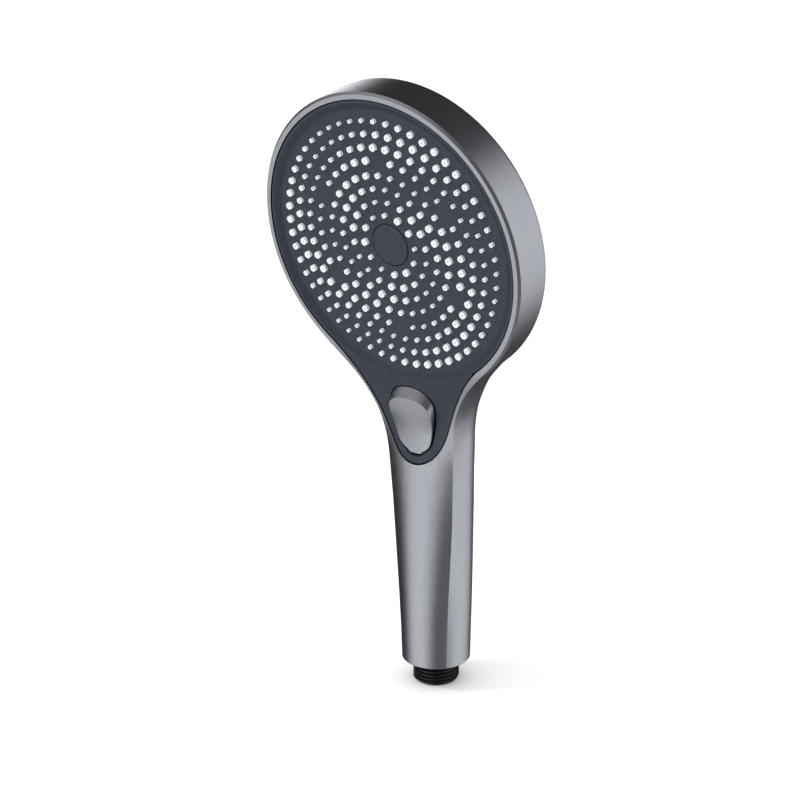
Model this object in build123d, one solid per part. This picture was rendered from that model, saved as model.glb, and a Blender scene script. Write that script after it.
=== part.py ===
from build123d import *
import math
import os

# Handheld shower head with a wide spray face and a thumb button.
# Millimetres. Origin: centre of the hose end of the threaded inlet. +Z runs up the handle,
# -Y is the front (the spray side), +X is to the right seen from the front.

# ---------------------------------------------------------------- face position
face_tilt = 11.0                 # spray face leans down from vertical, degrees
face_centre_y = -31.0
face_centre_z = 209.0            # nozzle tips' plane, at the centre of the face

# ---------------------------------------------------------------- head
head_radius = 66.5
lip_level = 1.0                  # lip above the nozzle tips
lip_chamfer = 1.0
lip_inner_radius = 63.55
panel_gap = 0.55                 # joint line between lip and panel
side_depth = 16.4                # straight part of the side wall, below the tips
back_edge_radius = 2.2
back_level = 25.5                # crown of the back, below the tips
wall = 2.4
neck_cut = 52.0                  # below this line the neck skin takes over from the round drum

# ---------------------------------------------------------------- spray panel
band_level = 0.55                # outer band of the panel
band_inner_radius = 61.6
field_radius = 58.9
field_level = -1.25              # flat field that carries the nozzles
panel_thickness = 2.0
neck_panel_drop = 0.3            # panel below the neighbouring metal in the neck

# nozzle rings: radius, nozzles per full ring, angle of the first one from +X
nozzle_rings = (
    (13.24, 12, 2.0), (19.12, 18, 4.0), (24.83, 24, 11.0), (30.64, 30, 8.0),
    (36.99, 36, 0.0), (42.72, 42, 6.3), (48.43, 48, 6.5), (54.07, 54, 2.65),
)
post_ring = 4                    # ring that leaves out a nozzle at each screw post
nozzle_mean = 2.3                # tip diameter, mean and swing of the three-armed swirl
nozzle_swing = 0.75
swirl_start = 53.0
swirl_rate = 2.98                # degrees of twist per millimetre of radius
nozzle_flare = 0.35              # root is wider than the tip by this much
nozzle_bore = 0.35
hole_clearance = 0.22

# ---------------------------------------------------------------- stack behind the panel
mat_thickness = 1.2
mat_radius = 58.0
plate_thickness = 4.0
plate_radius = 58.0
groove_half_width = 1.3
groove_depth = 2.2
cover_radius = 59.5
cover_depth = 6.0
cover_floor = 2.0
post_radius = 2.6
post_angles = (30, 90, 150, 210, 270, 330)
centre_cap_radius = 9.1
centre_gap = 0.4

# ---------------------------------------------------------------- thumb button
button_top = 66.2                # distances below the face centre
button_bottom = 97.7
button_half_top = 11.65
button_half_bottom = 10.2
button_gap = 0.6
button_rise = 2.65               # thumb end above the nozzle tips' plane
button_base = -4.6
pivot_down = 92.6
pivot_level = -4.4
pin_radius = 0.8

# ---------------------------------------------------------------- diverter valve
valve_down = 76.0
valve_radius = 8.6
valve_top = -11.0
valve_bottom = -22.0
outlet_level = -14.6             # water passage from the valve to the spray chamber
stem_radius = 1.9
stem_top = button_base
stem_head = 4.2
stem_dome = 12.0                 # radius of the rounded top, which the tilting button slides over
spring_seat = -6.0
spring_wire = 0.25

# ---------------------------------------------------------------- handle and inlet
handle_end = 10.8
handle_end_radius = 15.5
thread_radius = 10.478           # G 1/2
thread_pitch = 1.814
thread_depth = 1.162
thread_length = 10.2
inlet_bore = 6.6
inlet_bore_depth = 6.5
insert_bore = 6.3                # seat of the screen and the restrictor
shank_radius = 9.0
shank_top = 27.0
tube_radius = 6.6
tube_bore = 5.0
tube_bottom = 23.0
tube_top = 127.0

sin_t = math.sin(math.radians(face_tilt))
cos_t = math.cos(math.radians(face_tilt))
head = Plane(origin=(0, face_centre_y, face_centre_z), x_dir=(1, 0, 0), z_dir=(0, -cos_t, -sin_t))

# Stations of the neck, in planes square to the spray face: distance below the face centre,
# crease half-width, crease level, centre level, side half-width, level of the widest point,
# back level, squareness of the back, sharpness of the turn behind the crease.
neck_stations = (
    (20, 62.3, 0.7, 0.7, 63.1, -14.0, -22.2, 1.7, 14.0),
    (30, 57.8, 0.7, 0.7, 58.9, -14.0, -23.4, 1.7, 14.0),
    (40, 51.9, 0.9, 0.9, 52.9, -14.0, -24.2, 1.75, 14.0),
    (46, 46.9, 1.0, 1.0, 47.8, -14.0, -24.6, 1.8, 13.0),
    (52, 40.8, 1.0, 1.0, 41.7, -14.0, -25.0, 1.95, 11.0),
    (56, 36.8, 0.7, 0.8, 37.7, -14.0, -25.4, 2.15, 9.0),
    (62, 31.4, 0.0, 0.2, 32.3, -14.0, -25.9, 2.45, 6.5),
    (68, 27.1, -0.7, -0.4, 28.0, -14.0, -26.5, 2.65, 4.5),
    (74, 23.8, -1.2, -0.8, 24.4, -14.0, -27.1, 2.75, 3.2),
    (80, 21.2, -1.6, -0.7, 21.5, -14.0, -27.6, 2.65, 2.5),
    (86, 19.6, -1.8, 0.0, 19.5, -13.9, -28.0, 2.5, 2.1),
    (92, 18.6, -1.8, 1.3, 18.2, -13.4, -28.2, 2.35, 2.0),
    (100, 17.9, -1.3, 3.4, 17.5, -12.14, -28.1, 2.2, 2.0),
)
blend_size = 5.5                 # how far the neck's back flows out onto the head
blend_start = 62.0               # below the face centre: the head's back fades out from here
blend_end = 84.0
blend_inset = 0.8                # the blend dives this far under the head's own surface
# Stations of the handle: height, crease half-width, crease and centre in front of the axis,
# half-width, back behind the axis.
handle_stations = (
    (100, 17.25, 10.1, 15.6, 17.25, 16.8),
    (90, 16.75, 9.6, 15.7, 17.1, 17.0),
    (80, 16.3, 9.3, 15.8, 16.95, 16.95),
    (70, 15.7, 9.2, 15.9, 16.8, 16.8),
    (50, 14.45, 9.15, 15.95, 16.5, 16.5),
    (30, 13.35, 9.0, 15.85, 16.05, 16.05),
    (handle_end, 12.7, 8.887, 15.5, handle_end_radius, handle_end_radius),
)
bend_low = 90.0                  # the section planes swing from level to square with the face
bend_high = 125.0
section_step = 4.6


# ---------------------------------------------------------------- helpers
def turned(points):
    """Solid of revolution about Z from (radius, height) corners."""
    return revolve(Plane.XZ * make_face(Polyline(*points, close=True)), Axis.Z)


def rod(radius, bottom, top, x=0.0, y=0.0):
    """Round bar along Z."""
    return Pos(x, y, bottom) * Cylinder(radius, top - bottom, align=(Align.CENTER, Align.CENTER, Align.MIN))


def ring(outer, inner, bottom, top):
    return rod(outer, bottom, top) - rod(inner, bottom - 1, top + 1)


def o_ring(mean_radius, section, level):
    return Pos(0, 0, level) * Torus(mean_radius, section)


def at_head(part):
    """Place a part drawn in the face frame: X right, Y up the face, Z out of it."""
    return head.location * part


def even_points(dense, fractions):
    """Points of a dense 2-D curve at the given fractions of its length."""
    run = [0.0]
    for a, b in zip(dense[:-1], dense[1:]):
        run.append(run[-1] + math.dist(a, b))
    result = []
    k = 0
    for f in fractions:
        target = f * run[-1]
        while k < len(dense) - 2 and run[k + 1] < target:
            k += 1
        t = (target - run[k]) / (run[k + 1] - run[k])
        a, b = dense[k], dense[k + 1]
        result.append((a[0] + (b[0] - a[0]) * t, a[1] + (b[1] - a[1]) * t))
    return result


def side_fractions():
    """Fractions of the back curve, closer together next to the two creases."""
    half = [0.0, 0.008, 0.02, 0.036, 0.056, 0.08, 0.11, 0.145, 0.185, 0.225]
    half += [0.265, 0.3, 0.335, 0.37, 0.41, 0.455]
    return half + [0.5] + [1 - f for f in reversed(half)]


def front_points(half, crease, centre, count=9):
    """Arc from the left crease over the front centre to the right crease."""
    rise = centre - crease
    points = []
    for i in range(count):
        x = -half + 2 * half * i / (count - 1)
        if rise < 0.01:
            points.append((x, crease))
        else:
            radius = (half * half + rise * rise) / (2 * rise)
            points.append((x, centre - radius + math.sqrt(radius * radius - x * x)))
    return points


def smooth_max(a, b, size):
    near = max(0.0, 1 - abs(a - b) / max(size, 1e-6))
    return max(a, b) + near * near * size / 4


def head_reach(across, back, side, middle, down, inset):
    """How far the head's body reaches from (0, middle) in a direction of a level section of the face."""
    to_side = (side - blend_inset - inset) / max(across, 1e-6)
    crown = back_level - inset
    dome = dome_radius(back_level)
    a = across ** 2 / (2 * dome)
    c = -crown + down * down / (2 * dome) - middle
    if a < 1e-9:
        to_dome = -c / back
    else:
        to_dome = (-back + math.sqrt(max(0.0, back * back - 4 * a * c))) / (2 * a)
    return -smooth_max(-to_side, -to_dome + blend_inset / 2, 3.0)


def back_points(half, crease, side, middle, depth, square, turn, down, lift, inset):
    """Curve from the right crease round the back to the left crease. The neck's own rounded
    section flows into the head's back where the head is near."""
    share = min(1.0, max(0.0, (blend_end - down) / (blend_end - blend_start)))
    share = share * share * (3 - 2 * share)
    dense = []
    for i in range(121):
        t = 1 - (i / 120) ** 2
        dense.append((side - (side - half) * t ** turn, middle + (crease - middle) * t))
    for i in range(1, 241):
        angle = math.pi / 2 * i / 240
        x = side * math.cos(angle) ** (2 / square) if i < 240 else 0.0
        y = depth * math.sin(angle) ** (2 / square)
        reach = math.hypot(x, y)
        if share > 0:
            head_size = head_reach(x / reach, y / reach, side, middle + lift, down, inset)
            grown = smooth_max(reach, head_size, blend_size * y / reach)
            scale = 1 + share * (grown / reach - 1)
            x, y = x * scale, y * scale
        dense.append((x, middle - y))
    dense += [(-x, y) for x, y in reversed(dense[:-1])]
    return even_points(dense, side_fractions())


def section(place, half, crease, centre, *back_shape):
    """One closed section of the neck and handle skin, as a wire of two edges."""
    front = [place(x, y) for x, y in front_points(half, crease, centre)]
    back = [place(x, y) for x, y in back_points(half, crease, *back_shape)]
    front_edge = Edge.make_spline(front, parameters=[i / 8 for i in range(9)])
    back_edge = Edge.make_spline(back, parameters=side_fractions())
    return Wire([front_edge, back_edge])


def cubic_through(xs, ys):
    """Natural cubic spline through the points, as a function."""
    n = len(xs)
    gaps = [xs[i + 1] - xs[i] for i in range(n - 1)]
    upper = [0.0] * n
    value = [0.0] * n
    for i in range(1, n - 1):
        pivot = 2 * (gaps[i - 1] + gaps[i]) - gaps[i - 1] * upper[i - 1]
        upper[i] = gaps[i] / pivot
        change = 6 * ((ys[i + 1] - ys[i]) / gaps[i] - (ys[i] - ys[i - 1]) / gaps[i - 1])
        value[i] = (change - gaps[i - 1] * value[i - 1]) / pivot
    bend = [0.0] * n
    for i in range(n - 2, 0, -1):
        bend[i] = value[i] - upper[i] * bend[i + 1]

    def curve(x):
        k = max(0, min(n - 2, sum(1 for g in xs if g <= x) - 1))
        h = gaps[k]
        a = (xs[k + 1] - x) / h
        b = (x - xs[k]) / h
        curl = (a ** 3 - a) * bend[k] + (b ** 3 - b) * bend[k + 1]
        return a * ys[k] + b * ys[k + 1] + curl * h * h / 6
    return curve


def stations():
    """Neck and handle stations on one scale: height on the handle axis, then seven sizes."""
    rows = []
    for down, half, crease, centre, side, middle, back, square, turn in neck_stations:
        slide = down + face_centre_y * sin_t
        height = face_centre_z - slide / cos_t
        axis = face_centre_y * cos_t + slide * sin_t / cos_t
        rows.append((height, half, crease - axis, centre - axis, side, middle - axis, back - axis, square, turn))
    for height, half, crease, centre, side, back in handle_stations:
        rows.append((height, half, crease, centre, side, 0.0, -back, 2.0, 2.0))
    return sorted(rows)


def face_down(height):
    """Distance below the face centre of the section plane that meets the handle axis at this height."""
    return (face_centre_z - height) * cos_t - face_centre_y * sin_t


def axis_level(height):
    """Level, in the face frame, of the handle axis at this height."""
    return face_centre_y * cos_t + (face_centre_z - height) * sin_t


def plane_tilt(height):
    """Tilt of the section plane whose axis point is at this height, radians."""
    share = min(1.0, max(0.0, (height - bend_low) / (bend_high - bend_low)))
    return math.radians(face_tilt) * (1 - math.cos(math.pi * share)) / 2


def neck_skin(inset=0.0, drop=0.0, top=None):
    """Solid bounded by the neck and handle skin, drawn in by inset all round."""
    rows = stations()
    heights = [row[0] for row in rows]
    curves = [cubic_through(heights, [row[k] for row in rows]) for k in range(1, 9)]
    high = heights[-1] if top is None else top
    count = round((high - handle_end) / section_step)
    wires = []
    for i in range(count + 1):
        height = handle_end + (high - handle_end) * i / count
        half, crease, centre, side, middle, back, square, turn = [curve(height) for curve in curves]
        tilt = plane_tilt(height)

        def place(x, y, height=height, tilt=tilt):
            return Vector(x, -y * math.cos(tilt), height - y * math.sin(tilt))
        wires.append(section(
            place, half - inset, crease - inset * 0.7 - drop, max(centre, crease) - inset - drop,
            side - inset, middle, middle - back - inset, square, turn,
            face_down(height), axis_level(height), inset))
    return Solid.make_loft(wires)


def dome_radius(crown):
    """Radius of the sphere that the head's back is part of."""
    reach = head_radius - back_edge_radius
    rise = crown - side_depth - back_edge_radius
    return (reach ** 2 + rise ** 2) / (2 * rise)


def drum(radius, top, depth, edge, crown):
    """Round head body in the face frame: flat front, straight side, domed back."""
    side = Line((radius, top - lip_chamfer), (radius, -depth))
    corner = (radius - edge, -depth - edge)
    roll = ThreePointArc((radius, -depth), (radius - edge * 0.293, -depth - edge * 0.707), corner)
    rise = crown - depth - edge
    sphere = (corner[0] ** 2 + rise ** 2) / (2 * rise)
    dome_mid = (corner[0] / 2, -crown + sphere - math.sqrt(sphere ** 2 - corner[0] ** 2 / 4))
    dome = ThreePointArc(corner, dome_mid, (0, -crown))
    edges = [
        Line((0, top), (radius - lip_chamfer, top)), Line((radius - lip_chamfer, top), (radius, top - lip_chamfer)),
        side, roll, dome, Line((0, -crown), (0, top)),
    ]
    return revolve(Plane.XZ * make_face(Wire(edges)), Axis.Z)


def upper_half(solid, line, keep_above=True):
    """Keep the part of a face-frame solid above (or below) a level line of the face."""
    shift = line + 150 if keep_above else line - 150
    return solid & (Pos(0, shift, -20) * Box(300, 300, 200))


def teardrop(offset=0.0):
    """Outline of the panel in the face frame: round face running into the neck."""
    half = [(40.2, 48.5), (36.9, 52.0), (33.3, 56.0), (28.95, 62.0), (25.3, 68.0), (22.2, 74.0)]
    half += [(19.4, 80.0), (16.9, 86.0), (14.4, 91.4), (11.3, 96.2), (6.6, 100.1), (0.0, 101.7)]
    normals = []
    points = []
    for i, (x, s) in enumerate(half):
        a = half[max(i - 1, 0)]
        b = half[min(i + 1, len(half) - 1)]
        dx, dy = b[0] - a[0], -(b[1] - a[1])
        if i == len(half) - 1:
            dx, dy = -1.0, 0.0
        size = math.hypot(dx, dy)
        points.append((x - dy / size * offset, -s + dx / size * offset))
    left = [(-x, y) for x, y in reversed(points[:-1])]
    spline = Spline(*(points + left))
    lid = Line(left[-1], points[0])
    return make_face(Wire([spline.edge(), lid.edge()]))


def teardrop_prism(offset, bottom, top):
    return extrude(Pos(0, 0, bottom) * teardrop(offset), top - bottom)


def polar(radius, angle):
    """X and Y of a point on the face."""
    a = math.radians(angle)
    return radius * math.cos(a), radius * math.sin(a)


def nozzles():
    """Every nozzle as (x, y, tip diameter), ring by ring."""
    result = []
    for index, (radius, count, first) in enumerate(nozzle_rings):
        peak = swirl_start - swirl_rate * (radius - nozzle_rings[0][0])
        for i in range(count):
            angle = first + 360 * i / count
            if index == post_ring and round(angle) % 60 == 30:
                continue
            swing = math.cos(math.radians(3 * (angle - peak)))
            x, y = polar(radius, angle)
            result.append((x, y, nozzle_mean + nozzle_swing * swing))
    return result


def helix_wire(radius, wire, bottom, top, turns):
    """Round-wire compression spring along Z."""
    pitch = (top - bottom - 2 * wire) / turns
    path = Helix(pitch, pitch * turns, radius)
    profile = Plane(origin=path @ 0, z_dir=path % 0) * Circle(wire)
    return Pos(0, 0, bottom + wire) * sweep(profile, path=path, is_frenet=True)


# ---------------------------------------------------------------- shell
def rear_shell():
    """One moulding: head bowl, neck and handle."""
    body = drum(head_radius, lip_level, side_depth, back_edge_radius, back_level)
    body = at_head(upper_half(body, -neck_cut)) + neck_skin()
    bowl = drum(lip_inner_radius, 12.0, side_depth - 1.8, back_edge_radius, back_level - wall)
    body -= at_head(bowl)
    cavity = neck_skin(inset=2.6, top=170.0)
    body -= cavity & (Pos(0, 0, 34) * Box(200, 200, 200, align=(Align.CENTER, Align.CENTER, Align.MIN)))
    body -= at_head(teardrop_prism(0.2, -6.5, 9))
    # posts for the centre screw and the valve
    boss = rod(5.0, -24.5, -14.45) - rod(1.95, -21.5, -14)
    cradle = rod(6.0, -25.4, valve_bottom, 0, -valve_down)
    body += at_head(boss) + at_head(cradle)
    # socket for the inlet, with the groove of the retaining ring
    body -= rod(shank_radius + 0.15, handle_end - 1, shank_top + 0.2)
    body -= rod(8.2, shank_top, 40)
    body -= ring(9.9, 5, 23.9, 25.3)
    # small bevel round the lower end
    return body - turned([(handle_end_radius - 0.6, handle_end - 0.1), (handle_end_radius + 1, handle_end - 0.1),
                          (handle_end_radius + 1, handle_end + 1.5)])


# ---------------------------------------------------------------- spray panel
def face_panel():
    """Dished spray panel running down the neck, with the nozzle and button openings."""
    edge = lip_inner_radius - panel_gap
    band = lip_level - neck_panel_drop
    upper = rod(edge, -3.25, band)
    upper = at_head(upper_half(upper, -neck_cut))
    deep = teardrop_prism(-0.45, -9, 9)
    lower = at_head(upper_half(deep, -neck_cut, keep_above=False)) & neck_skin(drop=neck_panel_drop)
    under = neck_skin(drop=neck_panel_drop + 2.2) - at_head(rod(61.0, -60, 20))
    lower -= under
    slab = Pos(0, 0, -53.25) * Box(400, 400, 100)
    lower -= at_head(slab & rod(61.0, -60, 0))
    panel = upper + lower
    slope = (band - field_level) / (61.9 - 59.2)
    dish = [(0, field_level), (59.2, field_level), (61.9, band), (61.9 + 5 / slope, band + 5), (0, band + 5)]
    panel -= at_head(turned(dish))
    # recess and hole under the centre cap
    panel -= at_head(rod(centre_cap_radius + centre_gap, -2.35, 5))
    panel -= at_head(rod(4.6, -5, 5))
    # screw posts
    posts = []
    for angle in post_angles:
        x, y = polar(nozzle_rings[post_ring][0], angle)
        posts.append(rod(post_radius, -8.45, -3.0, x, y) - rod(1.4, -9, -4.6, x, y))
    for post in posts:
        panel += at_head(post)
    # button opening and pivot lugs
    panel -= at_head(extrude(Pos(0, 0, -12) * button_outline(button_gap), 24))
    for side in (-1, 1):
        lug = Pos(side * 11.7, -pivot_down, -3.2) * Box(2.6, 4.4, 5.2)
        panel += at_head(lug) & neck_skin(drop=neck_panel_drop + 0.5)
    panel -= at_head(pin_bar(pin_radius, 30))
    holes = [Pos(x, y, -6) * Cylinder(d / 2 + 0.3, 12) for x, y, d in nozzles()]
    cutter = head.location * Compound(children=[h.solid() for h in holes])
    return panel - cutter


def rounded_shield(half_top, half_bottom, top, bottom, top_rise, bottom_rise, grow=0.0):
    """Smooth closed outline: shallow arc at each end, straight flaring sides, large corners. It is
    then moved outward by grow."""
    points = [
        (0.0, top),
        (0.45 * half_top, top - 0.13 * top_rise),
        (0.78 * half_top, top - 0.52 * top_rise),
        (0.95 * half_top, top - 1.02 * top_rise),
        (half_top, top - 1.75 * top_rise),
        (half_bottom + 0.12 * (half_top - half_bottom), bottom + 1.55 * bottom_rise),
        (0.90 * half_bottom, bottom + 0.95 * bottom_rise),
        (0.66 * half_bottom, bottom + 0.40 * bottom_rise),
        (0.34 * half_bottom, bottom + 0.09 * bottom_rise),
        (0.0, bottom),
    ]
    side = Spline(*points, tangents=((1, 0), (-1, 0))).edge()
    if grow:
        moved = []
        for i in range(25):
            place, along = side @ (i / 24), side % (i / 24)
            moved.append((place.X - grow * along.Y, place.Y + grow * along.X))
        side = Spline(*moved, tangents=((1, 0), (-1, 0))).edge()
    return make_face([side, mirror(side, about=Plane.YZ)])


def button_outline(grow=0.0):
    """Rounded outline of the button where it leaves the panel."""
    return rounded_shield(button_half_top, button_half_bottom, -button_top, -button_bottom, 5.6, 8.6, grow)


def button_face():
    """Rounded outline of the thumb face."""
    return rounded_shield(10.75, 10.1, -70.6, -97.0, 4.2, 6.8)


def pin_bar(radius, length):
    """Bar along X through the button's pivot, in the face frame."""
    return Pos(0, -pivot_down, pivot_level) * Rot(0, 90, 0) * Cylinder(radius, length)


def thumb_surface():
    """Space above the thumb face, in the face frame: dished along the button, and rolling down at
    the sides towards the lower end, where it meets the panel."""
    wires = []
    for x in (-14, 0, 14):
        roll = (x / 10) ** 2
        line = Spline((62, 2.85), (70.2, 2.7 - 0.1 * roll), (78, 2.3 - 0.3 * roll), (86, 1.75 - 0.85 * roll),
                      (91, 1.7 - 0.7 * roll), (99, 2.2 - 0.7 * roll))
        close = Polyline((99, 2.2 - 0.7 * roll), (99, 12), (62, 12), (62, 2.85))
        plane = Plane(origin=(x, 0, 0), x_dir=(0, -1, 0), z_dir=(-1, 0, 0))
        wires.append((plane * make_face([line.edge()] + close.edges())).face().outer_wire())
    return Solid.make_loft(wires)


def mode_button():
    """Thumb button: skirt in the panel opening, sloped walls, dished face."""
    low, high = -0.6, 3.2
    crown = Solid.make_loft([
        (Pos(0, 0, low) * button_outline()).face().outer_wire(),
        (Pos(0, 0, high) * button_face()).face().outer_wire(),
    ], ruled=True)
    skirt = extrude(Pos(0, 0, button_base) * button_outline(), low - button_base)
    body = skirt + crown - thumb_surface()
    hollow = extrude(Pos(0, 0, button_base - 1) * button_outline(-1.7), 4.2)
    ribs = rod(3.0, button_base, 0, 0, -valve_down)
    ribs += Pos(0, -pivot_down, -3.5) * Box(17.0, 4.4, 5.0)
    body = body - hollow + (ribs & extrude(Pos(0, 0, button_base) * button_outline(-0.5), 5.2))
    body -= pin_bar(pin_radius + 0.05, 40)
    edges = [e for e in body.edges() if e.center().Z > 0.8 and e.length > 20]
    body = fillet(edges, 0.3)
    return at_head(body)


# ---------------------------------------------------------------- nozzle stack
def nozzle_mat():
    """Silicone sheet with every nozzle standing on it, each with its bore."""
    top = -3.25
    sheet = rod(mat_radius, top - mat_thickness, top) - rod(6.0, -10, 0)
    for angle in post_angles:
        x, y = polar(nozzle_rings[post_ring][0], angle)
        sheet -= rod(post_radius + 0.1, -10, 0, x, y)
    pegs = []
    bores = []
    for x, y, d in nozzles():
        peg = Cone(d / 2 + nozzle_flare / 2, d / 2, 3.75, align=(Align.CENTER, Align.CENTER, Align.MIN))
        pegs.append((Pos(x, y, top - 0.5) * peg).solid())
        bores.append(rod(nozzle_bore, -6, 2, x, y).solid())
    mat = sheet.fuse(*pegs)
    mat = mat.cut(*bores)
    return at_head(mat)


def spray_plate():
    """Rigid plate behind the mat: one groove per nozzle ring, fed from behind."""
    top = -3.25 - mat_thickness
    plate = rod(plate_radius, top - plate_thickness, top) - rod(2.05, -20, 0) - rod(3.6, -7.0, 0)
    for angle in post_angles:
        x, y = polar(nozzle_rings[post_ring][0], angle)
        plate -= rod(post_radius + 0.1, -20, 0, x, y)
    for index, (radius, count, first) in enumerate(nozzle_rings):
        plate -= ring(radius + groove_half_width, radius - groove_half_width, top - groove_depth, top + 1)
        for i in range(6):
            x, y = polar(radius, 60 * i + (index % 3) * 20)
            plate -= rod(0.9, -20, 0, x, y)
    return at_head(plate)


def cover():
    """Back of the spray chamber, with the elbow that takes the water in."""
    top = -3.25 - mat_thickness - plate_thickness
    back = top - cover_depth
    body = rod(plate_radius, back, top) - rod(53.5, back + cover_floor, top + 1)
    body -= ring(57.0, 55.4, top - 1.6, top + 1)
    body += rod(4.5, back, top)
    for angle in post_angles:
        x, y = polar(nozzle_rings[post_ring][0], angle)
        body += rod(4.0, back, top, x, y)
    for k in range(3):
        body += Rot(0, 0, 60 * k) * (Pos(0, 0, back + cover_floor) * Box(
            106, 1.6, 1.4, align=(Align.CENTER, Align.CENTER, Align.MIN)))
    body += Pos(0, -53.2, -16.2) * Box(10, 10.2, 4.2)
    body += Pos(0, -61.0, outlet_level) * Rot(90, 0, 0) * Cylinder(3.9, 9.4)
    body -= Pos(0, -64.4, outlet_level) * Rot(90, 0, 0) * (Cylinder(4.5, 0.8) - Cylinder(3.15, 0.8))
    body -= Pos(0, -58.0, outlet_level) * Rot(90, 0, 0) * Cylinder(2.3, 16.4)
    body -= rod(2.3, outlet_level, -10, 0, -51.5)
    body -= rod(2.05, -30, 0)
    for angle in post_angles:
        x, y = polar(nozzle_rings[post_ring][0], angle)
        body -= rod(1.5, -30, 0, x, y)
    return at_head(body)


def cover_seal():
    return at_head(o_ring(56.2, 0.77, -3.25 - mat_thickness - plate_thickness - 0.8))


def outlet_seal():
    """O-ring on the cover's nipple, where the valve plugs in."""
    return at_head(Pos(0, -64.4, outlet_level) * Rot(90, 0, 0) * Torus(3.575, 0.4))


def stack_screws():
    """Six screws from behind through the cover and plate into the panel's posts."""
    back = -3.25 - mat_thickness - plate_thickness - cover_depth
    result = []
    for angle in post_angles:
        x, y = polar(nozzle_rings[post_ring][0], angle)
        screw = rod(1.4, -14.5, -4.9, x, y) + rod(2.7, back - 1.7, back, x, y)
        screw -= Pos(x, y, back - 1.7) * Box(3.2, 0.6, 1.4)
        screw -= Pos(x, y, back - 1.7) * Box(0.6, 3.2, 1.4)
        result.append(at_head(screw).solid())
    return Compound(children=result)


def centre_screw():
    screw = rod(3.4, -7.0, -5.0) + rod(1.9, -21.0, -7.0)
    screw -= Pos(0, 0, -5.0) * Box(4.2, 0.8, 2.0)
    screw -= Pos(0, 0, -5.0) * Box(0.8, 4.2, 2.0)
    return at_head(screw)


def centre_cap():
    """Disc that hides the centre screw."""
    cap = turned([(0, -2.35), (3.7, -2.35), (3.7, -4.0), (4.5, -4.0), (4.5, -2.35),
                  (centre_cap_radius, -2.35), (centre_cap_radius, -1.2), (centre_cap_radius - 0.3, -0.9),
                  (0, -0.9)])
    return at_head(cap)


# ---------------------------------------------------------------- button and valve
def button_pin():
    return at_head(pin_bar(pin_radius, 24.8))


def valve_body():
    """Diverter housing across the neck, with the tube socket below and the outlet above."""
    body = rod(valve_radius, valve_bottom, valve_top, 0, -valve_down)
    body += Pos(0, -65.3, outlet_level) * Rot(90, 0, 0) * Cylinder(5.2, 9.0)
    body = at_head(body) + rod(8.2, 121.0, 131.0)
    bore = rod(6.5, -18.2, -10, 0, -valve_down) + rod(5.2, -20.0, -18, 0, -valve_down)
    body -= at_head(bore)
    body -= at_head(Pos(0, -63.3, outlet_level) * Rot(90, 0, 0) * Cylinder(3.975, 5.4))
    body -= at_head(Pos(0, -67.0, outlet_level) * Rot(90, 0, 0) * Cylinder(2.3, 8.0))
    body -= rod(tube_radius + 0.1, 120, tube_top)
    body -= rod(3.6, 120, 134)
    return body


def valve_cap():
    """Plug that closes the valve and guides the stem."""
    cap = rod(6.45, -13.0, valve_top, 0, -valve_down) - rod(stem_radius + 0.1, -20, 0, 0, -valve_down)
    groove = rod(2.7, -12.6, -11.8, 0, -valve_down)
    return at_head(cap - groove)


def stem_seal():
    return at_head(Pos(0, -valve_down, -12.2) * Torus(2.3, 0.4))


def valve_stem():
    """Push rod under the button."""
    stem = rod(stem_radius, -17.0, spring_seat, 0, -valve_down)
    dome = Pos(0, -valve_down, stem_top - stem_dome) * Sphere(stem_dome)
    stem += rod(stem_head, spring_seat, stem_top, 0, -valve_down) & dome
    stem += rod(1.5, -17.8, -17.0, 0, -valve_down)
    return at_head(stem)


def valve_rotor():
    """Port disc that turns a sixth of a turn at each press."""
    rotor = rod(6.3, -18.2, -15.8, 0, -valve_down) - rod(2.1, -25, 0, 0, -valve_down)
    for k in range(3):
        x, y = polar(4.2, 120 * k + 90)
        rotor -= rod(1.3, -25, 0, x, y - valve_down)
    for k in range(6):
        x, y = polar(5.6, 60 * k)
        tooth = rod(0.5, -15.8, -15.1, x, y - valve_down)
        rotor += tooth
    return at_head(rotor)


def return_spring():
    """Coil that lifts the stem and the button."""
    coil = helix_wire(3.2, spring_wire, valve_top, spring_seat, 4)
    return at_head(Pos(0, -valve_down, 0) * coil)


# ---------------------------------------------------------------- handle
def waterway_tube():
    """Pipe through the handle, from the inlet to the valve."""
    tube = ring(tube_radius, tube_bore, tube_bottom, tube_top)
    for level in (tube_bottom + 1.6, tube_top - 2.4):
        tube -= ring(8, 5.9, level, level + 0.8)
    return tube


def tube_seals():
    """O-rings at the two ends of the pipe."""
    return Compound(children=[
        o_ring(6.28, 0.38, level + 0.4).solid() for level in (tube_bottom + 1.6, tube_top - 2.4)])


def thread_ridge():
    """Helical ridge of the inlet thread, a little longer than the thread itself."""
    half = thread_pitch / 2
    root = thread_radius - thread_depth - 0.15
    corners = ((root, -half * 0.86), (thread_radius, -half * 0.14), (thread_radius, half * 0.14), (root, half * 0.86))
    rise = thread_length + 2 * thread_pitch
    edges = [Pos(0, 0, z) * Edge.make_helix(thread_pitch, rise, radius) for radius, z in corners]
    faces = [Face.make_surface_from_curves(edges[k], edges[(k + 1) % 4]) for k in range(4)]
    for end in (0, 1):
        points = [edge @ end for edge in edges]
        faces.append(Face(Wire([Edge.make_line(points[k], points[(k + 1) % 4]) for k in range(4)])))
    return Pos(0, 0, -thread_pitch) * Solid(Shell(faces))


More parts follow.
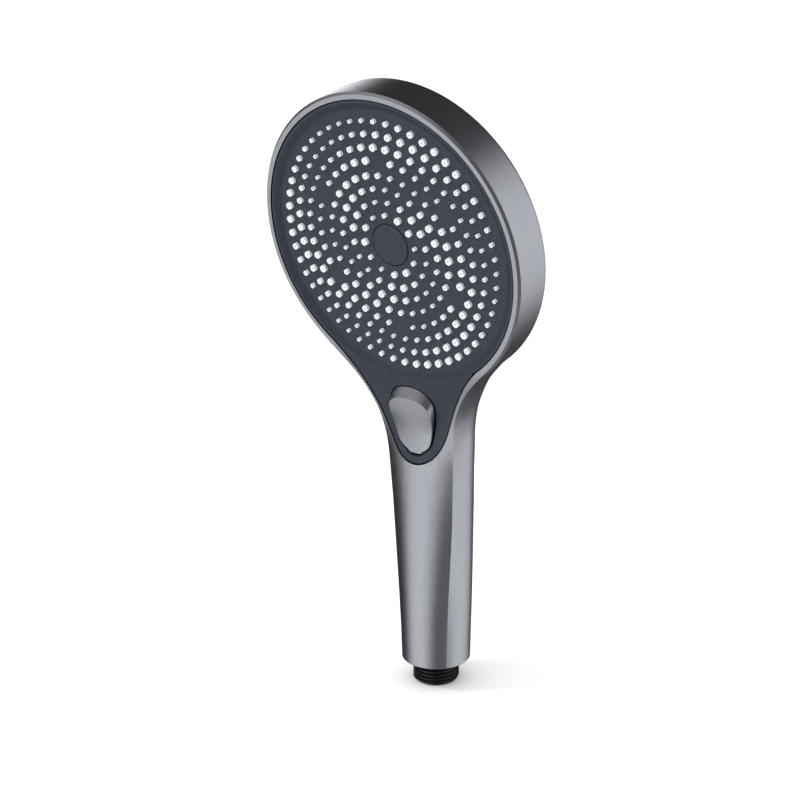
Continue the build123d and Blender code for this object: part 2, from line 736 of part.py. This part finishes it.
def inlet_connector():
    """Threaded inlet: hose thread below, sealed shank in the handle above."""
    core = thread_radius - thread_depth
    limit = turned([(0, 0), (core - 0.2, 0), (thread_radius, 1.1), (thread_radius, 9.2), (core, thread_length),
                    (0, thread_length)])
    body = (rod(core, 0, thread_length) & limit) + (thread_ridge() & limit)
    body += rod(shank_radius, 9.0, shank_top)
    body += rod(9.2, 9.0, handle_end)
    body -= ring(12, 7.6, 15.0, 16.6)
    body -= ring(12, 8.0, 23.9, 25.3)
    body -= rod(inlet_bore, -1, inlet_bore_depth)
    body -= rod(insert_bore, 0, 13.0)
    body -= rod(5.0, 0, 30)
    body -= rod(tube_radius + 0.06, tube_bottom, 30)
    return body


def connector_seal():
    return o_ring(8.35, 0.75, 15.8)


def retaining_ring():
    """Split ring that locks the inlet in the handle."""
    body = ring(9.85, 8.05, 24.0, 25.2)
    return body - Pos(0, 9, 24.6) * Box(3.2, 5, 4)


def flow_restrictor():
    """Disc with metering holes, against the step of the inlet bore."""
    disc = rod(insert_bore - 0.05, 10.4, 13.0)
    disc -= rod(insert_bore - 1.2, 9, 11.4)
    disc -= rod(0.9, 9, 15)
    for k in range(6):
        x, y = polar(3.4, 60 * k)
        disc -= rod(0.75, 9, 15, x, y)
    return disc


def filter_screen():
    """Debris screen just inside the inlet."""
    disc = rod(insert_bore - 0.05, 6.6, 8.4) - rod(insert_bore - 1.0, 6.0, 7.8)
    for i in range(-3, 4):
        for j in range(-3, 4):
            x, y = 1.5 * i, 1.5 * j
            if math.hypot(x, y) < insert_bore - 1.6:
                disc -= Pos(x, y, 8) * Box(0.95, 0.95, 3)
    return disc


nodes = {
    "rear_shell": rear_shell,
    "face_panel": face_panel,
    "centre_cap": centre_cap,
    "nozzle_mat": nozzle_mat,
    "spray_plate": spray_plate,
    "chamber_cover": cover,
    "chamber_seal": cover_seal,
    "stack_screws": stack_screws,
    "centre_screw": centre_screw,
    "mode_button": mode_button,
    "button_pin": button_pin,
    "valve_body": valve_body,
    "valve_cap": valve_cap,
    "valve_stem": valve_stem,
    "stem_seal": stem_seal,
    "valve_rotor": valve_rotor,
    "return_spring": return_spring,
    "outlet_seal": outlet_seal,
    "waterway_tube": waterway_tube,
    "tube_seals": tube_seals,
    "inlet_connector": inlet_connector,
    "connector_seal": connector_seal,
    "retaining_ring": retaining_ring,
    "flow_restrictor": flow_restrictor,
    "filter_screen": filter_screen,
}

os.makedirs("parts", exist_ok=True)
for name, make in nodes.items():
    shape = make()
    export_step(shape, os.path.join("parts", name + ".step"))
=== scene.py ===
import math

import bpy
from mathutils import Matrix, Vector
from mathutils.kdtree import KDTree

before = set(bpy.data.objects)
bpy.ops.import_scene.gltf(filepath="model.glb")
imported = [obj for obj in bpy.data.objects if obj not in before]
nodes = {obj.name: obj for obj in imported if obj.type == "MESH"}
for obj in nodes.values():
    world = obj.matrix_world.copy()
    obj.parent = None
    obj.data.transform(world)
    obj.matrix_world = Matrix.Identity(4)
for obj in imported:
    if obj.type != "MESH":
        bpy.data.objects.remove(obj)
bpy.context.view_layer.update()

# ---------------------------------------------------------------- dimensions, metres and degrees
FACE_TILT = math.radians(11.0)
FACE_CENTRE = Vector((0.0, -0.031, 0.209))
FACE_OUT = Vector((0.0, -math.cos(FACE_TILT), -math.sin(FACE_TILT)))
FACE_UP = Vector((0.0, -math.sin(FACE_TILT), math.cos(FACE_TILT)))

SMOOTH_REACH = 0.009        # shading normals are averaged this far around
NEAR_FLAT = 0.97            # a corner counts when its normal is this close to its face's
SAME_SIDE = 0.9             # and its face turned this nearly the same way
BACK_FACING = 0.75          # how squarely a face of the back has to look backward
BACK_DEPTH = 0.016          # the back lies this far behind the spray face
BACK_LOWEST = 0.070         # below the face centre, where the neck takes over

CAMERA_PLACE = (0.48817333, -0.6261074, 0.40308168)
CAMERA_RIGHT = Vector((0.77839987, 0.62770659, -0.00883622))
CAMERA_UP = Vector((-0.1951206, 0.25529362, 0.94697049))
CAMERA_BACK = Vector((0.59667545, -0.73539758, 0.32119901))
CAMERA_LENS = 86.42

FLOOR_RADIUS = 14.0
LIGHT_AIM = Vector((0.0, -0.01, 0.14))
ROOM_LEVEL = 0.015          # the surroundings where no patch of light reaches
ROOM_STRENGTH = 1.8

COOL = (0.965, 0.99, 1.085)     # tint of the metal


# ---------------------------------------------------------------- node helpers
class Material:
    """One procedural material around a Principled shader."""

    def __init__(self, name, **values):
        self.material = bpy.data.materials.new(name)
        self.material.use_nodes = True
        self.tree = self.material.node_tree
        self.shader = self.tree.nodes["Principled BSDF"]
        self.coords = self.tree.nodes.new("ShaderNodeTexCoord")
        for socket, value in values.items():
            self.shader.inputs[socket.replace("_", " ")].default_value = value

    def link(self, a, b):
        self.tree.links.new(a, b)

    def noise(self, scale, detail=2.0, roughness=0.5, stretch=(1, 1, 1)):
        mapping = self.tree.nodes.new("ShaderNodeMapping")
        mapping.inputs["Scale"].default_value = stretch
        self.link(self.coords.outputs["Object"], mapping.inputs["Vector"])
        noise = self.tree.nodes.new("ShaderNodeTexNoise")
        noise.inputs["Scale"].default_value = scale
        noise.inputs["Detail"].default_value = detail
        noise.inputs["Roughness"].default_value = roughness
        self.link(mapping.outputs["Vector"], noise.inputs["Vector"])
        return noise.outputs["Fac"]

    def ramp(self, source, stops):
        ramp = self.tree.nodes.new("ShaderNodeValToRGB")
        elements = ramp.color_ramp.elements
        while len(elements) < len(stops):
            elements.new(0.5)
        for element, (position, colour) in zip(elements, stops):
            element.position = position
            element.color = (*colour, 1.0)
        self.link(source, ramp.inputs["Fac"])
        return ramp.outputs["Color"]

    def spread(self, source, low, high):
        """The source's 0.3 to 0.7 mapped onto low to high."""
        node = self.tree.nodes.new("ShaderNodeMapRange")
        node.inputs["From Min"].default_value = 0.3
        node.inputs["From Max"].default_value = 0.7
        node.inputs["To Min"].default_value = low
        node.inputs["To Max"].default_value = high
        self.link(source, node.inputs["Value"])
        return node.outputs["Result"]

    def bump(self, source, distance, strength=1.0):
        bump = self.tree.nodes.new("ShaderNodeBump")
        bump.inputs["Distance"].default_value = distance
        bump.inputs["Strength"].default_value = strength
        self.link(source, bump.inputs["Height"])
        self.link(bump.outputs["Normal"], self.shader.inputs["Normal"])

    def colour(self, output):
        self.link(output, self.shader.inputs["Base Color"])

    def roughness(self, output):
        self.link(output, self.shader.inputs["Roughness"])


def cool(level):
    return tuple(level * t for t in COOL)


def gunmetal():
    m = Material("gunmetal_coat", Metallic=1.0)
    grain = m.noise(2600.0, 3.0, 0.6)
    m.colour(m.ramp(grain, [(0.30, cool(0.49)), (0.50, cool(0.55)), (0.72, cool(0.62))]))
    m.roughness(m.spread(m.noise(900.0, 3.0), 0.30, 0.40))
    m.bump(grain, 0.00002, 0.35)
    return m.material


def slate():
    m = Material("slate_panel")
    speck = m.noise(3800.0, 2.0, 0.7)
    dark, middle, light = (0.011, 0.016, 0.026), (0.021, 0.029, 0.045), (0.068, 0.084, 0.115)
    m.colour(m.ramp(speck, [(0.36, dark), (0.52, middle), (0.68, light)]))
    m.roughness(m.spread(m.noise(1200.0), 0.42, 0.56))
    m.bump(speck, 0.00003, 0.5)
    return m.material


def plastic(name, colour, rough, grain=1500.0):
    m = Material(name)
    n = m.noise(grain, 3.0)
    dark = tuple(0.88 * c for c in colour)
    light = tuple(min(1.0, 1.08 * c) for c in colour)
    m.colour(m.ramp(n, [(0.35, dark), (0.65, light)]))
    m.roughness(m.spread(m.noise(grain * 0.4), rough - 0.06, rough + 0.08))
    m.bump(n, 0.00001, 0.3)
    return m.material


def silicone():
    m = Material("white_silicone", Roughness=0.45, Subsurface_Weight=0.15,
                 Subsurface_Radius=(0.002, 0.002, 0.002))
    n = m.noise(900.0, 2.0)
    m.colour(m.ramp(n, [(0.3, (0.76, 0.79, 0.84)), (0.7, (0.86, 0.89, 0.93))]))
    m.bump(n, 0.00001, 0.3)
    return m.material


def steel():
    m = Material("spring_steel", Metallic=1.0)
    n = m.noise(600.0, 4.0, 0.6, (1, 1, 6))
    m.colour(m.ramp(n, [(0.3, (0.45, 0.45, 0.46)), (0.7, (0.62, 0.62, 0.63))]))
    m.roughness(m.spread(n, 0.24, 0.38))
    return m.material


def dress(names, material):
    for name in names:
        mesh = nodes[name].data
        mesh.materials.clear()
        mesh.materials.append(material)


dress(["rear_shell", "mode_button"], gunmetal())
dress(["face_panel", "centre_cap"], slate())
dress(["nozzle_mat"], silicone())
dress(["inlet_connector"], plastic("black_thread", (0.008, 0.009, 0.013), 0.32))
dress(["chamber_seal", "outlet_seal", "stem_seal", "tube_seals", "connector_seal"],
      plastic("black_rubber", (0.02, 0.02, 0.02), 0.6))
dress(["spray_plate", "waterway_tube"], plastic("ivory_plastic", (0.68, 0.67, 0.62), 0.45))
dress(["chamber_cover"], plastic("charcoal_plastic", (0.05, 0.05, 0.055), 0.5))
dress(["valve_body", "valve_cap", "valve_stem"], plastic("acetal", (0.72, 0.72, 0.70), 0.35))
dress(["valve_rotor"], plastic("blue_acetal", (0.05, 0.14, 0.38), 0.35))
dress(["flow_restrictor"], plastic("green_plastic", (0.03, 0.28, 0.10), 0.4))
dress(["filter_screen"], plastic("grey_screen", (0.30, 0.31, 0.33), 0.45))
dress(["stack_screws", "centre_screw", "button_pin", "return_spring", "retaining_ring"], steel())


# ---------------------------------------------------------------- shading of the head's back
def soften(name, radius, chosen):
    """Average the shading normals over a small neighbourhood where chosen says so. It smooths the
    shading where two CAD surfaces meet in a shallow ridge, and leaves the mesh as it is."""
    mesh = nodes[name].data
    places = [mesh.vertices[loop.vertex_index].co.copy() for loop in mesh.loops]
    normals = [Vector(corner.vector) for corner in mesh.corner_normals]
    flat = [None] * len(places)
    for polygon in mesh.polygons:
        for i in polygon.loop_indices:
            flat[i] = polygon.normal.copy()
    picked = [i for i, place in enumerate(places) if chosen(place, flat[i])]
    tree = KDTree(len(picked))
    for i in picked:
        tree.insert(places[i], i)
    tree.balance()
    smooth = list(normals)
    known = {}
    for i in picked:
        key = tuple(round(c, 6) for c in places[i])
        if key not in known:
            total = Vector()
            for place, j, distance in tree.find_range(places[i], radius):
                if normals[j].dot(flat[j]) > NEAR_FLAT and flat[j].dot(flat[i]) > SAME_SIDE:
                    total += normals[j] * (1.0 - (distance / radius) ** 2)
            known[key] = total.normalized() if total.length else normals[i]
        smooth[i] = known[key]
    mesh.normals_split_custom_set(smooth)


def on_back(place, facing):
    """On the back of the head, above the neck."""
    offset = place - FACE_CENTRE
    looks_back = facing.dot(FACE_OUT) < -BACK_FACING
    behind = offset.dot(FACE_OUT) < -BACK_DEPTH
    return looks_back and behind and offset.dot(FACE_UP) > -BACK_LOWEST


soften("rear_shell", SMOOTH_REACH, on_back)

# ---------------------------------------------------------------- camera
camera_data = bpy.data.cameras.new("camera")
camera_data.sensor_width = 36.0
camera_data.lens = CAMERA_LENS
camera_data.clip_start = 0.02
camera_data.clip_end = 200.0
camera = bpy.data.objects.new("camera", camera_data)
bpy.context.scene.collection.objects.link(camera)
turn = Matrix((CAMERA_RIGHT, CAMERA_UP, CAMERA_BACK)).transposed().to_4x4()
camera.matrix_world = Matrix.Translation(CAMERA_PLACE) @ turn
bpy.context.scene.camera = camera


# ---------------------------------------------------------------- floor
def disc(name, radius, steps=96):
    mesh = bpy.data.meshes.new(name)
    angles = [2 * math.pi * i / steps for i in range(steps)]
    points = [(radius * math.cos(a), radius * math.sin(a), 0.0) for a in angles]
    mesh.from_pydata(points, [], [list(range(steps))])
    obj = bpy.data.objects.new(name, mesh)
    bpy.context.scene.collection.objects.link(obj)
    return obj


floor = disc("floor", FLOOR_RADIUS)
paper = Material("pale_paper", Roughness=0.9)
paper.colour(paper.ramp(paper.noise(2.0), [(0.3, (0.93, 0.93, 0.93)), (0.7, (0.96, 0.96, 0.96))]))
floor.data.materials.append(paper.material)
floor.visible_glossy = False    # kept out of the metal's reflections, as the lights are

# ---------------------------------------------------------------- light
world = bpy.data.worlds.new("studio")
bpy.context.scene.world = world
world.use_nodes = True
sky = world.node_tree


def direction(azimuth, elevation):
    """Azimuth 0 is the front, 90 the part's +X side."""
    a, e = math.radians(azimuth), math.radians(elevation)
    return Vector((math.sin(a) * math.cos(e), -math.cos(a) * math.cos(e), math.sin(e)))


def glow(level, azimuth, elevation, inner, outer, strength, tall):
    """Soft patch of light in the studio's surroundings, added to the level so far. It is full inside
    the inner angle and gone outside the outer one, and tall stretches it upward and downward."""
    coords = sky.nodes.new("ShaderNodeTexCoord")
    squeeze = sky.nodes.new("ShaderNodeVectorMath")
    squeeze.operation = "MULTIPLY"
    squeeze.inputs[1].default_value = (1.0, 1.0, 1.0 / tall)
    unit = sky.nodes.new("ShaderNodeVectorMath")
    unit.operation = "NORMALIZE"
    along = sky.nodes.new("ShaderNodeVectorMath")
    along.operation = "DOT_PRODUCT"
    axis = direction(azimuth, elevation)
    axis.z /= tall
    along.inputs[1].default_value = axis.normalized()
    fade = sky.nodes.new("ShaderNodeMapRange")
    fade.interpolation_type = "SMOOTHSTEP"
    fade.inputs["From Min"].default_value = math.cos(math.radians(outer))
    fade.inputs["From Max"].default_value = math.cos(math.radians(inner))
    fade.inputs["To Max"].default_value = strength
    total = sky.nodes.new("ShaderNodeMath")
    total.operation = "ADD"
    sky.links.new(coords.outputs["Generated"], squeeze.inputs[0])
    sky.links.new(squeeze.outputs["Vector"], unit.inputs[0])
    sky.links.new(unit.outputs["Vector"], along.inputs[0])
    sky.links.new(along.outputs["Value"], fade.inputs["Value"])
    sky.links.new(fade.outputs["Result"], total.inputs[0])
    if isinstance(level, float):
        total.inputs[1].default_value = level
    else:
        sky.links.new(level, total.inputs[1])
    return total.outputs["Value"]


# azimuth, elevation, inner angle, outer angle, strength, tall
patches = (
    (20, 10, 55, 130, 0.06, 1.0),       # dim room, darkest behind on the left
    (-22, -20, 6, 46, 0.46, 0.62),      # large window of light, front left
    (124, -6, 26, 58, 0.45, 1.0),       # large window of light, behind on the right
    (-130, -2, 4, 16, 1.1, 1.6),        # narrow strip behind on the left
    (-45, 42, 10, 52, 0.17, 1.0),       # above the front
    (0, -90, 10, 60, 0.10, 1.0),        # from below
)
level = ROOM_LEVEL
for patch in patches:
    level = glow(level, *patch)
sky.links.new(level, sky.nodes["Background"].inputs["Color"])
sky.nodes["Background"].inputs["Strength"].default_value = ROOM_STRENGTH


def softbox(name, azimuth, elevation, distance, size, power):
    """Square area light aimed at the middle of the part, and kept out of its reflections."""
    way = direction(azimuth, elevation)
    data = bpy.data.lights.new(name, "AREA")
    data.shape = "SQUARE"
    data.size = size
    data.energy = power
    light = bpy.data.objects.new(name, data)
    bpy.context.scene.collection.objects.link(light)
    light.location = LIGHT_AIM + way * distance
    light.rotation_euler = (-way).to_track_quat("-Z", "Y").to_euler()
    light.visible_glossy = False


softbox("ceiling", 0, 90, 4.5, 26.0, 2350.0)
softbox("key", -50, 38, 1.6, 0.35, 7.0)

bpy.context.scene.view_settings.view_transform = "Standard"
